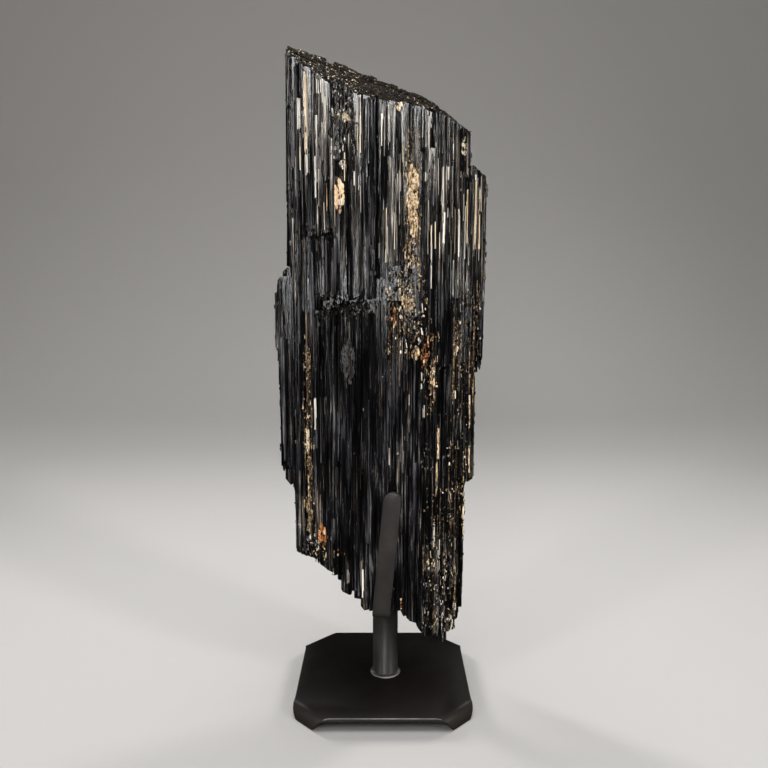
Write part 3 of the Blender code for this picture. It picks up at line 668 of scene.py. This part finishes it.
# Crystal: the blades that stand out
# The photograph's most noticeable blades and stains, each set where it shows there.
# They are the same stone as the rest: cleaved faces with painted highlights, cream and orange stains, white
# tips, and painted shade under a ledge and in a pit.
NOTED_BLADES = (
    # finish, x, z from, z to, width
    (CREAM, -0.0518, 0.3990, 0.4460, 0.0036),
    (CREAM, -0.0516, 0.3900, 0.4080, 0.0026),
    (WHITE_STAIN_AND_HIGHLIGHT, -0.0506, 0.3780, 0.3960, 0.0030),
    (WHITE_STAIN_AND_HIGHLIGHT, -0.0571, 0.4090, 0.4310, 0.0017),
    (SILVER_HIGHLIGHT, -0.0602, 0.4290, 0.4390, 0.0012),
    (SATIN, -0.0468, 0.3880, 0.4340, 0.0014),
    (WHITE_STAIN_AND_HIGHLIGHT, -0.0425, 0.4300, 0.4400, 0.0034),
    (WHITE_STAIN_AND_HIGHLIGHT, -0.0430, 0.3700, 0.4200, 0.0020),
    (SILVER_HIGHLIGHT, -0.0407, 0.3940, 0.4390, 0.0018),
    (SILVER_HIGHLIGHT, -0.0374, 0.3740, 0.4310, 0.0024),
    (WHITE_STAIN_AND_HIGHLIGHT, -0.0447, 0.3620, 0.3900, 0.0010),
    (WHITE_STAIN_AND_HIGHLIGHT, -0.0179, 0.3930, 0.4220, 0.0014),
    (SILVER_HIGHLIGHT, -0.0150, 0.3930, 0.4130, 0.0012),
    (WHITE_STAIN_AND_HIGHLIGHT, -0.0003, 0.3840, 0.4250, 0.0014),
    (CREAM, 0.0029, 0.3930, 0.4240, 0.0014),
    (WHITE_STAIN_AND_HIGHLIGHT, 0.0289, 0.3740, 0.3800, 0.0022),
    (WHITE_STAIN_AND_HIGHLIGHT, 0.0308, 0.3860, 0.4080, 0.0010),
    (WHITE_STAIN_AND_HIGHLIGHT, 0.0406, 0.3560, 0.3840, 0.0017),
    (WHITE_STAIN_AND_HIGHLIGHT, 0.0414, 0.3300, 0.3560, 0.0015),
    (WHITE_STAIN_AND_HIGHLIGHT, 0.0445, 0.3750, 0.3840, 0.0012),
    (CREAM, 0.0646, 0.3290, 0.3760, 0.0022),
    (CREAM, 0.0675, 0.3300, 0.3740, 0.0012),
    (WHITE_STAIN_AND_HIGHLIGHT, 0.0526, 0.3220, 0.3580, 0.0014),
    (SILVER_HIGHLIGHT, 0.0559, 0.3220, 0.3600, 0.0014),
    (SATIN, -0.0438, 0.3190, 0.3330, 0.0030),
    (WHITE_STAIN_AND_HIGHLIGHT, -0.0019, 0.3220, 0.3330, 0.0011),
    (WHITE_STAIN_AND_HIGHLIGHT, 0.0273, 0.2390, 0.2460, 0.0014),
    (WHITE_STAIN_AND_HIGHLIGHT, 0.0274, 0.2330, 0.2370, 0.0014),
    (CREAM, 0.0503, 0.2530, 0.2680, 0.0012),
    (GOLD, -0.0526, 0.2290, 0.2610, 0.0025),
    (CREAM, -0.0539, 0.1860, 0.2040, 0.0022),
    (WHITE_STAIN_AND_HIGHLIGHT, -0.0473, 0.2030, 0.2270, 0.0014),
    (GOLD, -0.0530, 0.1250, 0.1690, 0.0026),
    (WHITE_STAIN_AND_HIGHLIGHT, -0.0531, 0.1480, 0.1560, 0.0012),
    (SATIN, -0.0354, 0.1210, 0.1410, 0.0034),
    (SILVER_HIGHLIGHT, -0.0249, 0.1030, 0.1100, 0.0022),
    (WHITE_STAIN_AND_HIGHLIGHT, -0.0250, 0.0920, 0.1030, 0.0022),
    (GOLD, -0.0150, 0.1030, 0.1120, 0.0026),
    (WHITE_STAIN_AND_HIGHLIGHT, -0.0146, 0.0820, 0.1030, 0.0017),
    (MICA, 0.0386, 0.1540, 0.1800, 0.0020),
    (MICA, 0.0386, 0.1750, 0.2090, 0.0010),
    (WHITE_STAIN_AND_HIGHLIGHT, 0.0286, 0.2130, 0.2220, 0.0012),
    (WHITE_STAIN_AND_HIGHLIGHT, 0.0185, 0.2190, 0.2290, 0.0012),
    (MICA, 0.0623, 0.1690, 0.1930, 0.0008),
    (MICA, 0.0618, 0.2010, 0.2260, 0.0008),
    (CREAM, 0.0588, 0.1180, 0.1540, 0.0009),
    (WHITE_STAIN_AND_HIGHLIGHT, 0.0362, 0.1180, 0.1400, 0.0012),
    (SILVER_HIGHLIGHT, -0.0605, 0.1200, 0.1720, 0.0007),
    (SILVER_HIGHLIGHT, -0.0578, 0.1200, 0.1720, 0.0007),
    (PAINTED_SHADE, -0.0452, 0.3350, 0.3400, 0.0060),
    (PAINTED_SHADE, -0.0360, 0.3355, 0.3375, 0.0080),
    (PAINTED_SHADE, -0.0305, 0.3770, 0.3880, 0.0042),
    (CRUST, -0.0235, 0.2390, 0.2660, 0.0070),
)
# Thin lines of painted highlight, zone by zone.
PAINTED_HIGHLIGHT_LINES = (
    # x from, x to, z from, z to, count
    (-0.0627, -0.0547, 0.3300, 0.4400, 16),
    (-0.0446, -0.0340, 0.3400, 0.4380, 40),
    (-0.0337, -0.0196, 0.3400, 0.3900, 14),
    (-0.0191, -0.0139, 0.3350, 0.4320, 26),
    (-0.0064, 0.0178, 0.3250, 0.4260, 64),
    (0.0301, 0.0483, 0.3150, 0.4080, 50),
    (0.0485, 0.0699, 0.3000, 0.3850, 84),
    (-0.0627, -0.0211, 0.2100, 0.3300, 50),
    (-0.0056, 0.0416, 0.1700, 0.3000, 46),
    (0.0418, 0.0671, 0.1200, 0.3000, 56),
    (-0.0594, 0.0318, 0.0900, 0.2100, 60),
)
STRAND_WIDTH = 0.0008
UPPER_LINE = (0.0003, 0.0007)
LOWER_LINE = (0.0002, 0.0005)
USUAL_SHARE = 0.75
OWN_FINISH = {CREAM: 0.95, CRUST: 1.0, PAINTED_SHADE: 1.0, WHITE_STAIN_AND_HIGHLIGHT: 0.88}
tree = surface_tree(crystal, fine)


def noted_strands():
    """Each noted blade is a close row of strands, most in its own finish, with ragged ends."""
    for finish, x, z_from, z_to, width in NOTED_BLADES:
        strands = max(2, round(width / STRAND_WIDTH * 1.7))
        for number in range(strands):
            spread = width * 0.5 - STRAND_WIDTH * 0.4
            across = x + spread * (2.0 * number / (strands - 1) - 1.0) + rng.gauss(0.0, 0.0002)
            top = z_to - (z_to - z_from) * rng.uniform(0.0, 0.5) * rng.random()
            low = z_from + (top - z_from) * rng.uniform(0.0, 0.6) * rng.random()
            found = find_across(tree, across, (top + low) / 2, steepest=0.95)
            if not found:
                continue
            place, outward = found
            outward = (outward + Vector((0.0, -1.2, 0.0))).normalized()
            kept = rng.random() < OWN_FINISH.get(finish, USUAL_SHARE)
            own = finish if kept else rng.choice((BROWN, SILVER_HIGHLIGHT, BLACK))
            sizes = (STRAND_WIDTH * rng.uniform(0.6, 1.6), 0.0020, top - low)
            yield set_shard(rng.choice(strand_patterns), place, outward, sizes, rng.uniform(0.0003, 0.0010),
                            own, rng, turn=0.30, lean=0.006)


def bright_lines():
    """Thin edges with painted highlights: long and pale in the upper part, short and dimmer lower down, where
    less light falls.
    """
    for x_from, x_to, z_from, z_to, count in PAINTED_HIGHLIGHT_LINES:
        upper = z_to > TOP_ZONE
        for number in range(count):
            middle = rng.uniform(z_from, z_to)
            found = find_across(tree, rng.uniform(x_from, x_to), middle)
            if not found or in_arm_way(found[0], 0.003):
                continue
            place, outward = found
            length = rng.uniform(0.006, 0.036) if upper else rng.uniform(0.002, 0.014)
            low = clear_run(tree, place, outward, middle, length, -1)
            high = clear_run(tree, place, outward, middle, length, 1)
            if high - low < 0.002:
                continue
            place = Vector((place.x, place.y, (low + high) / 2))
            finish = draw_finish("lines", rng) if upper else rng.choice((SILVER_HIGHLIGHT, BROWN, SATIN, SILVER_HIGHLIGHT))
            sizes = (rng.uniform(*(UPPER_LINE if upper else LOWER_LINE)), 0.0018, high - low)
            yield set_shard(rng.choice(strand_patterns), place, outward, sizes, rng.uniform(0.0004, 0.0010),
                            finish, rng, turn=0.4, lean=0.008)


strand_patterns = [blade_pattern("strand_" + str(number), 4 + number % 2, 0.45) for number in range(6)]
noted = join_pieces(noted_strands(), "noted_strands")
lines = join_pieces(bright_lines(), "bright_lines")
noted = join_pieces([noted, lines], "noted_blades")
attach(noted, "root")


# Crystal: broken seams, patches and grain
# Mica, stained rock and broken bits of blade fill the seams, and coarse grain covers the slanted top.
# Each bit is a small flake, chip or splinter grown into the surface at an angle of its own.
BIT_SEED = 19
TOP_GRAINS = 7000
SPECKS = 1800
SPLINTER_SHARE = 0.4
PATCHES = (
    # mix, x, z, half width, half height, flakes, their size
    ("peach", -0.0295, 0.3650, 0.0032, 0.0112, 150, 0.0024),
    ("orange", -0.0298, 0.3560, 0.0022, 0.0030, 30, 0.0018),
    ("pale", -0.0267, 0.3850, 0.0024, 0.0028, 34, 0.0018),
    ("cream", -0.0265, 0.4155, 0.0050, 0.0034, 130, 0.0016),
    ("mica", 0.0204, 0.3610, 0.0040, 0.0240, 620, 0.0019),
    ("gold", 0.0186, 0.3260, 0.0036, 0.0110, 200, 0.0016),
    ("cream", 0.0108, 0.4212, 0.0024, 0.0030, 60, 0.0017),
    ("cream", 0.0556, 0.4000, 0.0020, 0.0080, 100, 0.0016),
    ("mica", 0.0167, 0.2930, 0.0046, 0.0060, 120, 0.0015),
    ("glitter", 0.0130, 0.2980, 0.0100, 0.0170, 300, 0.0014),
    ("glitter", 0.0214, 0.2720, 0.0050, 0.0150, 210, 0.0014),
    ("mica", 0.0226, 0.2580, 0.0030, 0.0046, 60, 0.0015),
    ("orange", 0.0079, 0.2830, 0.0026, 0.0060, 90, 0.0015),
    ("orange", 0.0293, 0.2570, 0.0028, 0.0110, 140, 0.0014),
    ("mica", 0.0347, 0.2415, 0.0014, 0.0080, 50, 0.0014),
    ("gold", 0.0516, 0.2660, 0.0024, 0.0130, 130, 0.0014),
    ("cream", -0.0537, 0.1950, 0.0016, 0.0090, 70, 0.0014),
    ("gold", -0.0527, 0.2400, 0.0018, 0.0150, 120, 0.0014),
    ("ember", -0.0433, 0.1265, 0.0030, 0.0095, 230, 0.0018),
    ("pink", -0.0490, 0.1200, 0.0070, 0.0050, 180, 0.0014),
    ("mist", 0.0315, 0.1820, 0.0046, 0.0130, 70, 0.0012),
    ("orange", 0.0133, 0.0770, 0.0010, 0.0060, 40, 0.0012),
    ("lump", -0.0235, 0.2525, 0.0042, 0.0150, 240, 0.0022),
    ("rock", -0.0241, 0.2890, 0.0190, 0.0040, 420, 0.0016),
)
FLAT_MIXES = ("peach", "lump", "ember")
HAIRS = (
    # x from, x to, z from, z to, count
    (0.0279, 0.0518, 0.0560, 0.1300, 70),
    (0.0079, 0.0265, 0.2600, 0.3150, 14),
)
# Pale beads, partly painted glints, on the high end of the top.
BEADS_AND_GLINTS_TO = -0.0150
BEADS_AND_GLINTS_SHARE = 0.12
ABOVE_TOP = 0.6


def chip_pattern(name, thickness):
    """A chip with uneven corners, a metre across, for copies to be shrunk from."""
    deselect_all()
    bpy.ops.mesh.primitive_cylinder_add(vertices=5, radius=0.5, depth=thickness, end_fill_type="NGON")
    chip = bpy.context.active_object
    chip.name = name
    uneven = random.Random(name)
    for vert in chip.data.vertices:
        vert.co.x *= uneven.uniform(0.6, 1.2)
        vert.co.y *= uneven.uniform(0.6, 1.2)
        vert.co.z *= uneven.uniform(0.7, 1.3)
    for material in finishes:
        chip.data.materials.append(material)
    return chip


def set_chip(pattern, place, normal, size, finish, rng, tilt, stretch=1.0):
    """A copy of a chip laid on the surface, tilted a little and stretched upwards."""
    chip = bpy.data.objects.new("chip", pattern.data.copy())
    turn = normal.to_track_quat("Z", "Y").to_matrix().to_4x4()
    turn = turn @ Matrix.Rotation(rng.gauss(0.0, tilt), 4, "X")
    turn = turn @ Matrix.Rotation(rng.gauss(0.0, tilt), 4, "Y")
    turn = turn @ Matrix.Rotation(rng.uniform(0.0, 2 * math.pi), 4, "Z")
    tall = Matrix.Diagonal((1.0, 1.0, stretch, 1.0))
    chip.data.transform(Matrix.Translation(place) @ tall @ turn @ Matrix.Scale(size, 4))
    for face in chip.data.polygons:
        face.material_index = finish
    bpy.context.scene.collection.objects.link(chip)
    return chip


def set_splinter(found, widths, lengths, finish):
    sizes = (rng.uniform(*widths), 0.0015, rng.uniform(*lengths))
    return set_shard(rng.choice(pointed), *found, sizes, rng.uniform(0.0001, 0.0010), finish, rng,
                     turn=0.6, lean=0.12)


def seam_bits():
    """Flakes and splinters crowd the seams in uneven drifts, half as many on the back."""
    for mix, x_from, x_to, z_from, z_to, count in SEAMS:
        for front in (True, False):
            for number in range(count if front else count // 2):
                x = rng.uniform(x_from, x_to) + rng.gauss(0.0, 0.0010)
                z = rng.uniform(z_from, z_to) + rng.gauss(0.0, 0.0030)
                if noise.noise(Vector((x * 160.0, z * 90.0, 5.0))) < rng.uniform(-0.5, 0.3):
                    continue
                found = find_across(tree, x if front else -x, z, front)
                if not found or in_arm_way(found[0], 0.003):
                    continue
                finish = draw_finish(mix, rng)
                if rng.random() < SPLINTER_SHARE:
                    yield set_splinter(found, (0.0004, 0.0010), (0.0012, 0.0060), finish)
                else:
                    flake = rng.choice(flakes)
                    yield set_chip(flake, *found, rng.uniform(0.0008, 0.0020), finish, rng, 0.6, 1.4)


def patch_flakes():
    """Flakes lie over each other within an uneven oval."""
    for mix, x_middle, z_middle, half_width, half_height, count, size in PATCHES:
        for number in range(count):
            across = rng.uniform(-1.2, 1.2)
            up = rng.uniform(-1.2, 1.2)
            x = x_middle + across * half_width
            z = z_middle + up * half_height
            border = 0.9 + 0.7 * noise.noise(Vector((x * 350.0, z * 140.0, 2.0)))
            found = find_across(tree, x, z)
            if across * across + up * up > border or not found or in_arm_way(found[0], 0.002):
                continue
            place, outward = found
            rise = outward * (rng.uniform(0.0, 0.0005) + (0.0005 if mix in FLAT_MIXES else 0.0001))
            tilt = 0.14 if mix in FLAT_MIXES else 0.42
            yield set_chip(rng.choice(flakes), place + rise, outward, size * rng.uniform(0.6, 1.3),
                           draw_finish(mix, rng), rng, tilt, 1.9)


def hairs():
    """Thin edges of mica sheets with painted glints, which run across the blades at all angles."""
    for x_from, x_to, z_from, z_to, count in HAIRS:
        for number in range(count):
            found = find_across(tree, rng.uniform(x_from, x_to), rng.uniform(z_from, z_to))
            if found and not in_arm_way(found[0], 0.008):
                sizes = (rng.uniform(0.0002, 0.0005), 0.0012, rng.uniform(0.0010, 0.0055))
                yield set_shard(rng.choice(pointed), *found, sizes, rng.uniform(0.0001, 0.0005),
                                rng.choice((SILVER_HIGHLIGHT, WHITE_STAIN_AND_HIGHLIGHT, SILVER_HIGHLIGHT, MICA)), rng, turn=0.3, lean=0.8)


def top_grains():
    """Coarse grain on the slanted top, with pale beads towards its high end, partly painted glints."""
    for number in range(TOP_GRAINS):
        x = rng.uniform(low_corner[0], high_corner[0])
        y = rng.uniform(low_corner[1], high_corner[1])
        place, normal = tree.ray_cast(Vector((x, y, ABOVE_TOP)), Vector((0.0, 0.0, -1.0)))[:2]
        if place is None or place.z < STEPS_ABOVE or normal.z < 0.4:
            continue
        size = rng.uniform(0.0006, 0.0020)
        mix = "beads_and_glints" if x < BEADS_AND_GLINTS_TO and rng.random() < BEADS_AND_GLINTS_SHARE else "grain"
        yield set_chip(rng.choice(chips), place - normal * size * 0.15, normal, size,
                       draw_finish(mix, rng), rng, 0.45)


def specks():
    """Small splinters all round."""
    for number in range(SPECKS):
        z = rng.uniform(low_corner[2] + 0.005, high_corner[2] - 0.014)
        found = find_round(tree, rng.uniform(0.0, 2 * math.pi), z)
        if found and not in_arm_way(found[0], 0.003):
            yield set_splinter(found, (0.0004, 0.0009), (0.0006, 0.0035), draw_finish("specks", rng))


rng = random.Random(BIT_SEED)
chips = [chip_pattern("chip_" + str(number), 0.35) for number in range(5)]
flakes = [chip_pattern("flake_" + str(number), 0.16) for number in range(5)]
tree = surface_tree(crystal, fine, noted)
seams = join_pieces(seam_bits(), "seam_bits")
patches = join_pieces(patch_flakes(), "patch_flakes")
grains = join_pieces(top_grains(), "top_grains")
dots = join_pieces(specks(), "specks")
threads = join_pieces(hairs(), "hairs")
bits = join_pieces([seams, patches, dots, threads], "broken_bits")
for piece in (bits, grains):
    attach(piece, "root")
for pattern in blunt + pointed + strand_patterns + chips + flakes:
    bpy.data.objects.remove(pattern, do_unlink=True)
